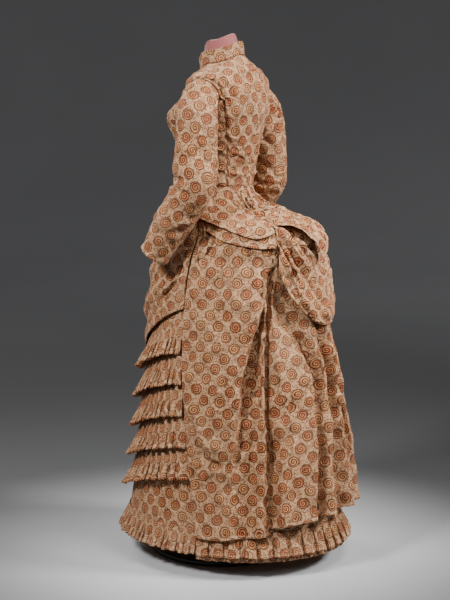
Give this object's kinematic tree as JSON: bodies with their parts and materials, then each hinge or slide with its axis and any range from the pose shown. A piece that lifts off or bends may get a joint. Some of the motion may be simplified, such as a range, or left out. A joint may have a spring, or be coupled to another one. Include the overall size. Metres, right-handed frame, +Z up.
{
  "type": "bustle dress on a dress form",
  "caption": "Costume dress of printed cotton: fitted basque bodice, draped apron over a ruffled front, puffed bustle back and pleated hem, worn by a limbless form on a pole and round foot.",
  "frame": {"origin": "middle of the underside of the stand's round foot, on the floor", "axes": "+Z up along the pole; -Y the way the dress faces, so +Y is towards the bustle; +X the wearer's left"},
  "size_m": [0.597, 0.7234, 1.482],
  "materials": {
    "print_cotton": "matt plain-weave cotton with a small block print",
    "form_cover": "tightly stretched matt jersey",
    "stand_black": "satin black paint",
    "button_cover": "cloth stretched over a domed mould"
  },
  "bodies": {
    "root": {"apron": "print_cotton", "back_panel": "print_cotton", "basque_front_left": "print_cotton", "basque_front_right": "print_cotton", "basque_side_left": "print_cotton", "basque_side_right": "print_cotton", "basque_tail": "print_cotton", "bodice_centre_back_left": "print_cotton", "bodice_centre_back_right": "print_cotton", "bodice_front_left": "print_cotton", "bodice_front_right": "print_cotton", "bodice_side_back_left": "print_cotton", "bodice_side_back_right": "print_cotton", "button_01": "button_cover", "button_02": "button_cover", "button_03": "button_cover", "button_04": "button_cover", "button_05": "button_cover", "button_06": "button_cover", "button_07": "button_cover", "button_08": "button_cover", "button_09": "button_cover", "button_10": "button_cover", "collar": "print_cotton", "dress_form": "form_cover", "flounce_back": "print_cotton", "flounce_front": "print_cotton", "hem_frill": "print_cotton", "hip_fold_left": "print_cotton", "hip_fold_right": "print_cotton", "puff": "print_cotton", "ruffle_1": "print_cotton", "ruffle_2": "print_cotton", "ruffle_3": "print_cotton", "ruffle_4": "print_cotton", "ruffle_5": "print_cotton", "side_panel_left": "print_cotton", "side_panel_right": "print_cotton", "sleeve_under_left": "print_cotton", "sleeve_under_right": "print_cotton", "sleeve_upper_left": "print_cotton", "sleeve_upper_right": "print_cotton", "stand_foot": "stand_black", "stand_pole": "stand_black", "underskirt_back": "print_cotton", "underskirt_front": "print_cotton", "underskirt_left": "print_cotton", "underskirt_right": "print_cotton"}
  },
  "joints": []
}
